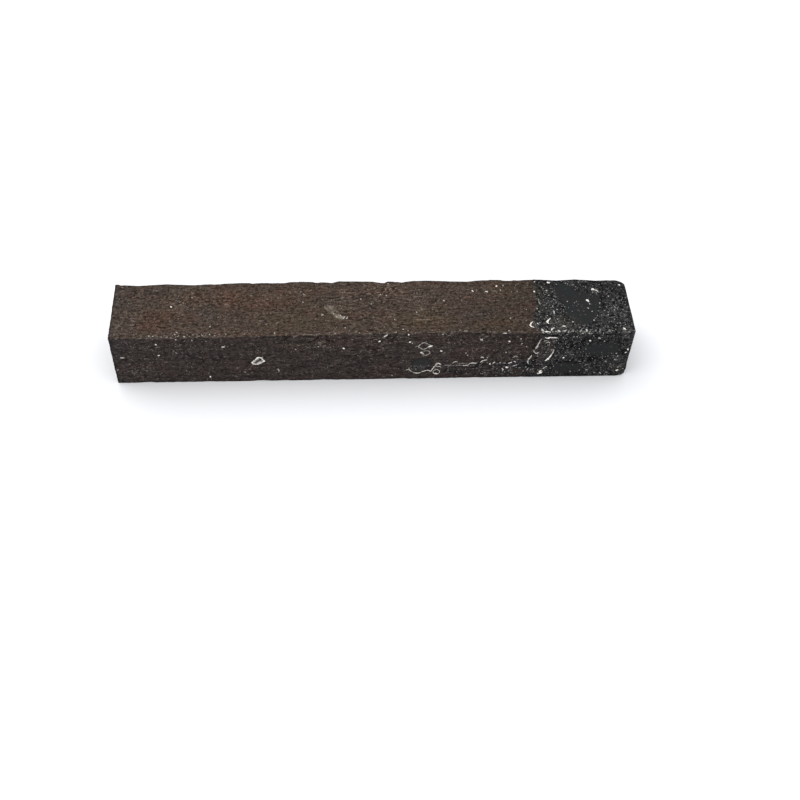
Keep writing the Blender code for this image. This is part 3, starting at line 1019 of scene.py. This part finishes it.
def build_curl_flake(pale):
    """A pale shell-like flake: a thick curled rim, and a thin hollow middle with a dark hole and groove."""
    hole = around(middle_of("pale_curl_flake"), [(1.6, 1.4)])[0]
    outline = around(hole, [
        (-5.4, -2.9), (-3.9, -1.2), (-1.9, 1.4), (-0.4, 2.3), (0.9, 1.8), (1.6, 0.4),
        (2.6, -1.5), (1.2, -2.6), (0.1, -3.4), (-2.2, -4.4), (-4.5, -4.0),
    ])
    groove = around(hole, [(-2.9, -3.0), (-1.0, -0.8)])

    def profile(uv, share):
        return np.full(len(uv), 0.16 * (1.0 - share**4) - 0.03)

    def tone(uv, share):
        at_hole = np.hypot(uv[:, 0] - hole[0], (uv[:, 1] - hole[1]) / 1.25)
        at_groove = segment_distance(uv[:, 0], uv[:, 1], *groove)
        hollow = np.maximum(1.0 - ramp(at_hole, 0.7, 1.1), 0.9 * (1.0 - ramp(at_groove, 0.45, 0.85)))
        return 0.22 * (1.0 - hollow)

    flake = Parts()
    pad(flake, "front", outline, profile, tone, sides=110, rings=30)
    middle = np.mean(outline, axis=0)
    rim = [tuple(middle + 0.88 * (np.array(place) - middle)) for place in outline]
    add_ribs(flake, [(0.85, 0.50, 355, 1.0, rim + rim[:1])])
    lumps = [
        (1.3, 0.55, 365, 1.1, [(-5.0, -2.9), (-4.5, -2.8)]),
        (1.3, 0.55, 371, 1.2, [(0.9, 1.4), (1.4, 1.5)]),
        (1.2, 0.55, 371, 1.2, [(2.2, -1.5), (2.7, -1.4)]),
        (1.4, 0.55, 371, 1.2, [(0.1, -2.9), (0.6, -2.8)]),
    ]
    rest = [(0.8, 0.45, 356, 1.0, [(-2.0, -3.4), (-1.0, -2.5), (0.4, -2.1)]), *lumps]
    add_ribs(flake, rest, "front", hole)
    flake.piece("curl_flake", pale, "pale_curl_flake")


# Whitened edges and flakes of the coat on each face: width, tone, path
WHITE_EDGES = {
    "front": [
        (0.5, 0.75, [(96, 34.2), (95.2, 31.6), (94.4, 28.6), (93.2, 25.8)]),
        (0.55, 0.85, [(94.9, 28), (94, 26.4), (93.6, 25)]),
        (0.5, 0.8, [(92.6, 24.4), (93.2, 22.4), (94.5, 21.3), (95.6, 22.2), (95.2, 23.4)]),
        (0.65, 0.95, [(91.9, 20.2), (91.4, 18), (90.4, 15.6), (90.4, 13.4), (91.6, 11.4), (92.2, 9.6)]),
        (0.5, 0.6, [(92.2, 9.2), (91.2, 7.6), (90.4, 5.8)]),
        (0.55, 0.85, [(104.1, 25), (104.2, 22.6), (103.7, 20.2)]),
        (0.8, 1, [(103.8, 20.6), (102.8, 18), (101.4, 15.6), (100.2, 14.2)]),
        (1.1, 1, [(99.6, 6.4), (98.8, 5.4), (98.6, 4.2)]), (1, 1, [(97, 3.2), (98.6, 3.8), (100.4, 4.6)]),
        (0.5, 0.7, [(102.2, 9.8), (100.8, 8.6), (100, 7.4)]),
        (0.75, 1, [(97.6, 35.4), (98.8, 34.7), (100.4, 35.2), (102.2, 35.3), (105.4, 35)]),
        (0.9, 1, [(98.6, 35), (99.6, 34.6), (100.6, 34.8)]),
        (0.4, 0.55, [(98.6, 30), (100.4, 31), (101.4, 29.6), (100.8, 27.6)]),
        (0.4, 0.5, [(97.4, 31.6), (98.6, 32.4), (100.2, 31.8)]),
    ],
    "top": [
        (0.6, 0.9, [(95.8, -18.1), (96.3, -19.7), (97.2, -20.4)]),
        (0.6, 0.9, [(97, -20.4), (98.8, -20.2), (100.8, -20.4)]),
        (1, 1, [(100.8, -19.1), (101.9, -17.9), (103.2, -17.1)]),
        (0.6, 0.75, [(104.6, -18.3), (105.6, -19.3), (106.4, -19.7)]),
        (0.7, 0.8, [(107.4, -16.3), (108.6, -15.9), (109.8, -16.3)]),
        (0.55, 0.6, [(107.2, -19.1), (108.6, -19.4), (109.8, -19.1)]),
        (0.95, 1, [(101.9, -9.9), (100.5, -11.3), (99.6, -12.9), (100.4, -14.3)]),
        (0.65, 0.75, [(93.4, -13.5), (94.2, -14.4), (94.8, -14.5)]),
        (0.45, 0.9, [(104.5, -3.7), (104.5, -5.5), (104.4, -7.1)]),
        (0.35, 0.5, [(104.6, -1.9), (104.2, 0.5)]), (0.35, 0.45, [(96.4, 6.1), (96.8, 2.9), (97.3, 0.1)]),
        (1.2, 1.1, [(129, 12.1), (130, 12.7), (131, 12.3)]),
        (0.6, 0.75, [(130.8, 12.5), (132.2, 11.7), (133.4, 10.1)]),
        (1.25, 1.1, [(124.6, 4.3), (125.6, 3.7), (126.2, 2.5)]),
        (0.9, 0.9, [(103.2, 18.7), (104.4, 18.5), (105.4, 18.8)]),
    ],
}


def build_dip_flakes(pale):
    """The whitened, chipped edges of the coat at the dip line, and the flakes on the coat."""
    flakes = Parts()
    rows = [(face, *row) for face, rows in WHITE_EDGES.items() for row in rows]
    for seed, (face, width, tone, path) in enumerate(rows, start=361):
        ribbon(flakes, face, path, 1.12 * width, 0.38 * width, seed, tone)
    flakes.piece("dip_line_flakes", pale)


# Specks of wax that stand out, by their face and how bright they are
SPECKS = {
    ("front", "bright"): [
        (-124, 33.5), (-123.5, 24), (-96, 4.5), (-18, 28), (19, 37.8), (2.5, 33.5), (20, 32.5), (38.5, 24.5),
        (77.5, 32), (124.5, 32), (148.3, 23.5), (147.5, 21), (111, 17.5), (145, 5.5), (68, 12.5),
    ],
    ("front", "middling"): [
        (-113.5, 26), (-144, 22.5), (-148.4, 12), (-86.5, 30.5), (-103.5, 36.5), (-32.5, 29.5), (-45.5, 27.5),
        (-75.5, 8.5), (38.5, 37.6), (21.4, 31.5), (53, 22.5), (54.2, 20.5), (60.5, 34), (10.5, 3.5),
        (66.5, 3.5), (84, 34), (88, 27.5), (129.5, 34.5), (133, 31.5), (142, 20.5), (137, 13.5), (135, 3.5),
        (66, 18), (62.5, 18.5), (74, 13.5), (76.5, 22.5), (61.6, 33), (-112.4, 37.4), (85, 30),
    ],
    ("top", "bright"): [
        (-116.5, 2.5), (58.5, 12.5), (73, 16), (95, 11.5), (146.6, 16.5), (121.5, -19),
    ],
    ("top", "middling"): [
        (-7.5, 7), (-1.5, 3), (-105, 9.5), (-112, -17), (-113, -18.5), (-107.5, -20.3), (-93.5, -13),
        (-30, -5.5), (-17, -15.5), (-40.5, 11), (-41, 5), (4, 10.5), (7.5, 9.5), (9, 18.8), (11.5, -9.5),
        (16, -17.5), (41, 5), (67, 11.5), (77, 16.5), (75, 13), (24.5, -4), (78.5, -9.5), (76.5, -19.5),
        (96, 18.8), (102.5, 12), (113.5, 3), (138.5, 7), (132.5, 1.5), (125, -2.5), (126.5, 1), (127, -5),
        (114.5, -13), (121.5, -20.1), (127, -12), (136, -8), (144, -19.3), (95, -2.5),
    ],
}
# Size and tone
SPECK_LOOKS = {"bright": (0.54, 0.90), "middling": (0.42, 0.38)}

# Specks drawn out along the grain: face, u, v, size, stretch, turn, tone
DASHES = [
    ("front", -144.2, 22.4, 0.38, 3.4, 0, 0.6), ("front", -86.4, 30.6, 0.4, 2.6, 0.1, 0.7),
    ("front", 74.2, 38.4, 0.38, 3.4, 0, 0.55), ("top", -29.8, -4.8, 0.38, 2.4, -0.6, 0.35),
    ("front", 129.6, 34.4, 0.42, 2.4, -0.7, 0.7), ("top", 143.8, -18.7, 0.5, 2.2, -0.9, 0.9),
    ("front", 6, 37.6, 0.4, 3.4, 0.75, 0.7), ("front", 61.2, 33.6, 0.4, 2.4, 0.6, 0.6),
    ("top", 66.8, 12, 0.42, 2.2, 0, 0.6), ("front", -56, 9.6, 0.34, 3, 1.9, 0.5),
]

# Scattered specks of each face: how many, and the lowest and highest v
SCATTER = {"front": (260, 1.5, 38), "top": (300, -19.5, 19.5), "back": (200, 1.5, 38)}

# Short parallel scrapes at the bright end of the scuff on the top
SCUFF_SLASHES = [
    [(-21.9, -6.1), (-21.4, -7.3)],
    [(-19.7, -5.1), (-18.9, -6.5), (-18.4, -7.7)],
    [(-16.8, -5.7), (-17.6, -7.5), (-18.5, -8.9)],
    [(-15.4, -6.6), (-16.3, -8.6)],
    [(-23.8, -3.4), (-22.6, -4.5)],
]


def build_specks(pale):
    """The specks that stand out, crumbs along the worn arris, and smaller ones scattered over every face."""
    rng = np.random.default_rng(12)
    specks = Parts()
    for (face, look), places in SPECKS.items():
        size, tone = SPECK_LOOKS[look]
        for u, v in places:
            stretch = rng.uniform(1.0, 1.35)
            crumb(specks, face, u, v, size, rng, tone, stretch, FINE_BALL)
    for face, u, v, size, stretch, turn, tone in DASHES:
        crumb(specks, face, u, v, size, rng, tone, stretch, FINE_BALL, turn)
    for face, (count, v_low, v_high) in SCATTER.items():
        for _ in range(count):
            u = rng.uniform(BARE_X + 1.5, WAX_X - 2.5)
            v = rng.uniform(v_low, v_high)
            near_dip = bell(u - 105.0, 30.0)
            size = 0.20 + 0.16 * rng.random() ** 2 + 0.05 * near_dip
            tone = rng.uniform(0.04, 0.20) + 0.14 * near_dip
            crumb(specks, face, u, v, size, rng, tone, rng.uniform(1.0, 2.2))
    for _ in range(90):
        u = rng.choice([rng.uniform(-130, -95), rng.uniform(94, 140), rng.uniform(BARE_X + 2, DIP_X)])
        size = rng.uniform(0.22, 0.38)
        v = rng.uniform(-20.3, -18.8)
        crumb(specks, "top", u, v, size, rng, rng.uniform(0.15, 0.5), rng.uniform(1, 2))
    for face in ("bare_end", "waxed_end"):
        for _ in range(16):
            u, v = rng.uniform(-18, 18), rng.uniform(3, 36)
            crumb(specks, face, u, v, 0.18 + 0.14 * rng.random(), rng, rng.uniform(0.1, 0.4))
    for seed, path in enumerate(SCUFF_SLASHES, start=401):
        ribbon(specks, "top", path, 0.60, 0.12, seed, 0.74)
    specks.piece("stuck_specks", pale)


# ---------------------------------------------------------------- materials


class Shader:
    """A material's node tree, built from small helpers. Sizes of patterns are in mm."""

    def __init__(self, name):
        self.material = bpy.data.materials.new(name)
        self.material.use_nodes = True
        self.nodes = self.material.node_tree.nodes
        self.links = self.material.node_tree.links
        self.surface = self.nodes["Principled BSDF"]
        self.position = self.node("TexCoord", {}, {})["Object"]

    def fill(self, node, inputs):
        """Sets a node's inputs to values, or links them to other nodes' outputs."""
        for key, value in inputs.items():
            if isinstance(value, bpy.types.NodeSocket):
                self.links.new(value, node.inputs[key])
            else:
                node.inputs[key].default_value = value

    def node(self, kind, settings, inputs):
        """Adds a node and gives its outputs."""
        node = self.nodes.new("ShaderNode" + kind)
        for key, value in settings.items():
            setattr(node, key, value)
        self.fill(node, inputs)
        return node.outputs

    def noise(self, size, detail=3.0, rough=0.55, distort=0.0):
        """Noise whose cells are size mm along X, Y and Z."""
        scale = [1.0 / (s * MM) for s in size]
        at = self.node("Mapping", {}, {"Vector": self.position, "Scale": scale})["Vector"]
        look = {"Vector": at, "Scale": 1.0, "Detail": detail, "Roughness": rough, "Distortion": distort}
        return self.node("TexNoise", {}, look)["Fac"]

    def attribute(self, name):
        return self.node("Attribute", {"attribute_name": name}, {})["Fac"]

    def math(self, operation, a, b=0.0, clamp=False):
        return self.node("Math", {"operation": operation, "use_clamp": clamp}, {0: a, 1: b})[0]

    def between(self, value, low, high, to_low=0.0, to_high=1.0):
        """Maps low..high to to_low..to_high with a smooth step, clamped."""
        ends = {"From Min": low, "From Max": high, "To Min": to_low, "To Max": to_high}
        settings = {"interpolation_type": "SMOOTHSTEP"}
        return self.node("MapRange", settings, {"Value": value, **ends})["Result"]

    def mix(self, share, a, b, blend="MIX"):
        a, b = ((*c, 1.0) if isinstance(c, tuple) else c for c in (a, b))
        settings = {"data_type": "RGBA", "blend_type": blend}
        return self.node("Mix", settings, {"Factor": share, "A": a, "B": b})["Result"]

    def tints(self, colour, *rows):
        """Multiplies a colour by others. A row is a share, or the name of an attribute, and a colour."""
        for share, by in rows:
            share = self.attribute(share) if isinstance(share, str) else share
            colour = self.mix(share, colour, by, "MULTIPLY")
        return colour

    def cover(self, colour, *rows):
        """Covers a colour with others. A row is a share and a colour."""
        for share, coat in rows:
            colour = self.mix(share, colour, coat)
        return colour

    def share(self, name, strength):
        """A named attribute times a strength, clamped."""
        return self.math("MULTIPLY", self.attribute(name), strength, clamp=True)

    def total(self, *parts):
        """A weighted sum of values."""
        result = 0.0
        for value, weight in parts:
            result = self.math("ADD", self.math("MULTIPLY", value, weight), result)
        return result

    def product(self, *values):
        result = values[0]
        for value in values[1:]:
            result = self.math("MULTIPLY", result, value)
        return result

    def worms(self, size, width):
        """Thin curly lines: 1 along them, 0 between them."""
        curl = self.noise(size, 2.0, 0.5, 1.6)
        off = self.math("ABSOLUTE", self.math("SUBTRACT", curl, 0.5))
        return self.between(off, 0.0, width, 1.0, 0.0)

    def bump(self, height, distance, strength, after=None):
        inputs = {"Height": height, "Distance": distance * MM, "Strength": strength}
        return self.node("Bump", {}, inputs if after is None else {**inputs, "Normal": after})["Normal"]

    def done(self, colour, roughness, normal, specular):
        look = {"Base Color": colour, "Roughness": roughness, "Normal": normal}
        self.fill(self.surface, {**look, "Specular IOR Level": specular})
        return self.material


def timber_material():
    s = Shader("sawn_dark_timber")
    grit = s.noise((1.6, 1.15, 1.15), 2.5, 0.6, 0.8)
    fibres = s.noise((4.0, 0.85, 0.85), 3.0, 0.6)
    streaks = s.noise((80.0, 4.5, 4.5))
    mottle = s.noise((9.0, 6.0, 6.0), 3.0, 0.5)
    hue = s.noise((16.0, 8.0, 8.0), 2.0, 0.5, 0.6)
    flecks = s.noise((1.5, 1.15, 1.15), 2.0, 0.6, 1.2)
    front, rubbed = s.attribute("front"), s.attribute("rubbed")
    tone = s.total((grit, 0.66), (fibres, 0.30), (streaks, 0.04))
    # Painted shade: the front and bottom faces take darker, cooler low and high colours than the top
    low = s.mix(front, (0.0135, 0.0090, 0.0068), (0.0105, 0.0080, 0.0076))
    high = s.mix(front, (0.0870, 0.0620, 0.0485), (0.0515, 0.0395, 0.0375))
    colour = s.tints(
        s.mix(s.between(tone, 0.36, 0.64), low, high),
        ("warm", (1.20, 0.93, 0.78)),
        ("olive", (1.03, 1.02, 0.80)),
        ("grey", (0.84, 0.94, 1.03)),
        (s.between(hue, 0.52, 0.66), (1.07, 0.98, 0.95)),
        (s.between(hue, 0.34, 0.48, 1.0, 0.0), (0.96, 1.01, 0.99)),
    )
    dust = s.between(s.total((flecks, 1.0), (rubbed, 0.055)), 0.62, 0.68)
    curls = s.worms((2.4, 1.8, 1.8), 0.030)
    curls = s.product(curls, s.between(mottle, 0.40, 0.60, 0.4, 1.0), s.total((rubbed, 0.4), (1.0, 0.10)))
    pits = s.product(s.between(flecks, 0.34, 0.46, 1.0, 0.0), s.total((rubbed, 0.8), (1.0, 0.1)))
    black = (0.004, 0.003, 0.003)
    colour = s.cover(
        colour,
        (s.math("MULTIPLY", dust, 0.65), (0.21, 0.17, 0.14)),
        (curls, (0.15, 0.125, 0.105)),
        (pits, black),
        # The dark attribute covers splits, pores and end grain, painted shade below the near arris and along
        # the far and foot arrises and the bare end's rim, and a darkening towards the waxed end
        (s.share("dark", 0.88), black),
        (s.share("pale", 1.0), (0.46, 0.40, 0.33)),
    )
    normal = s.bump(fibres, 0.35, 0.9, s.bump(grit, 0.30, 0.9))
    return s.done(colour, s.between(fibres, 0.3, 0.7, 0.95, 0.75), normal, 0.05)


def wax_material():
    s = Shader("black_dipping_wax")
    patches = s.noise((16.0, 12.0, 12.0), 3.0, 0.5)
    scuffs = s.noise((1.9, 1.5, 1.5), 2.0, 0.6, 1.3)
    wrinkles = s.noise((2.2, 1.8, 1.8), 4.0, 0.6, 1.2)
    grains = s.noise((0.95, 0.85, 0.85), 1.0, 0.5, 0.6)
    rubbed = s.attribute("rubbed")
    rough = s.math("SUBTRACT", 1.0, s.attribute("smooth"), clamp=True)
    wear = s.total((rubbed, 0.65), (1.0, 0.35))
    set_smooth = s.mix(s.between(patches, 0.42, 0.58), (0.0155, 0.0180, 0.0178), (0.0175, 0.0170, 0.0180))
    colour = s.tints(s.mix(rough, set_smooth, (0.0172, 0.0163, 0.0172)), ("olive", (1.75, 1.70, 1.25)))
    curls = s.product(s.worms((2.2, 1.7, 1.7), 0.034), s.between(patches, 0.40, 0.52), rough, wear)
    sparks = s.between(s.total((grains, 1.0), (rubbed, 0.05)), 0.69, 0.75)
    colour = s.cover(
        colour,
        (s.share("bare", 0.8), (0.036, 0.027, 0.025)),
        (s.product(s.between(scuffs, 0.43, 0.51, 1.0, 0.0), rough), (0.0015, 0.0015, 0.002)),
        (s.product(s.between(scuffs, 0.54, 0.66), rough, wear), (0.097, 0.095, 0.094)),
        (s.math("MULTIPLY", curls, 0.45), (0.15, 0.15, 0.145)),
        (s.product(sparks, s.total((rough, 0.8), (1.0, 0.2))), (0.42, 0.41, 0.39)),
        # The dark attribute covers splits and dark mottling, and painted shade below the near arris, along
        # the far and foot arrises and round the upper rim of the drop
        (s.share("dark", 0.9), (0.002, 0.002, 0.002)),
        (s.share("pale", 1.0), (0.46, 0.45, 0.42)),
    )
    return s.done(colour, s.between(rough, 0.0, 1.0, 0.50, 0.72), s.bump(wrinkles, 0.40, 0.8), 0.035)


def pale_material():
    s = Shader("whitened_wax")
    mottle = s.between(s.noise((0.7, 0.7, 0.7)), 0.25, 0.65, 0.75, 1.2)
    whiteness = s.math("MULTIPLY", s.attribute("tone"), mottle, clamp=True)
    colour = s.mix(whiteness, (0.026, 0.022, 0.019), (0.84, 0.80, 0.74))
    return s.done(colour, 0.6, s.bump(s.noise((0.5, 0.5, 0.5), 2.0), 0.15, 0.6), 0.15)


# ---------------------------------------------------------------- stage


def build_stage():
    mesh = bpy.data.meshes.new("floor")
    half = 6.0
    corners = [(-half, -half, 0), (half, -half, 0), (half, half, 0), (-half, half, 0)]
    mesh.from_pydata(corners, [], [(0, 1, 2, 3)])
    paper = Shader("pale_floor")
    look = {"Base Color": (0.82, 0.82, 0.835, 1.0), "Roughness": 0.9, "Specular IOR Level": 0.1}
    paper.fill(paper.surface, look)
    mesh.materials.append(paper.material)
    floor = add_object("floor", mesh)


def build_world(light, seen):
    """Even light from all round. What the camera sees of it is white, so the floor has no visible end."""
    world = bpy.data.worlds.new("studio")
    bpy.context.scene.world = world
    world.use_nodes = True
    nodes, links = world.node_tree.nodes, world.node_tree.links
    background = nodes["Background"]
    background.inputs["Color"].default_value = (0.98, 0.99, 1.0, 1.0)
    ray = nodes.new("ShaderNodeLightPath")
    strength = nodes.new("ShaderNodeMapRange")
    strength.inputs["To Min"].default_value = light
    strength.inputs["To Max"].default_value = seen
    links.new(ray.outputs["Is Camera Ray"], strength.inputs["Value"])
    links.new(strength.outputs["Result"], background.inputs["Strength"])


def build_sun(name, towards, strength, angle):
    """A broad, soft lamp, shining from the direction given."""
    lamp = bpy.data.lights.new(name, "SUN")
    lamp.energy = strength
    lamp.angle = math.radians(angle)
    add_object(name, lamp).rotation_euler = Vector(towards).to_track_quat("Z", "Y").to_euler()


def build_camera():
    """The camera, placed, aimed and rolled as the one that took the photo."""
    azimuth, elevation, roll = (math.radians(a) for a in (-5.59, 51.59, 3.44))
    distance = 669.4 * MM
    target = Vector((14.6, -37.55, 0.0)) * MM
    level = math.cos(elevation)
    back = Vector((math.sin(azimuth) * level, -math.cos(azimuth) * level, math.sin(elevation)))
    right = Vector((0, 0, 1)).cross(back).normalized()
    up = back.cross(right)
    rolled_right = math.cos(roll) * right + math.sin(roll) * up
    rolled_up = -math.sin(roll) * right + math.cos(roll) * up
    camera = bpy.data.cameras.new("camera")
    camera.lens = 51.4
    camera.sensor_width = 36.0
    camera.clip_start = 0.01
    obj = add_object("camera", camera)
    turn = Matrix((rolled_right, rolled_up, back)).transposed()
    obj.matrix_world = Matrix.Translation(target + distance * back) @ turn.to_4x4()
    bpy.context.scene.camera = obj


def main():
    build_camera()
    build_stage()
    build_world(light=1.15, seen=1.04)
    build_sun("key", (-0.6, 0.15, 1.0), 1.15, 60)
    bpy.context.scene.view_settings.view_transform = "Standard"
    timber = timber_material()
    wax = wax_material()
    pale = pale_material()
    build_timber(timber)
    build_cap(wax)
    build_film(wax, pale)
    build_bead(wax, pale)
    build_small_pieces(FRONT_PIECES, "front", pale)
    build_curl_flake(pale)
    build_small_pieces(TOP_PIECES, "top", pale)
    build_dip_flakes(pale)
    build_specks(pale)


main()
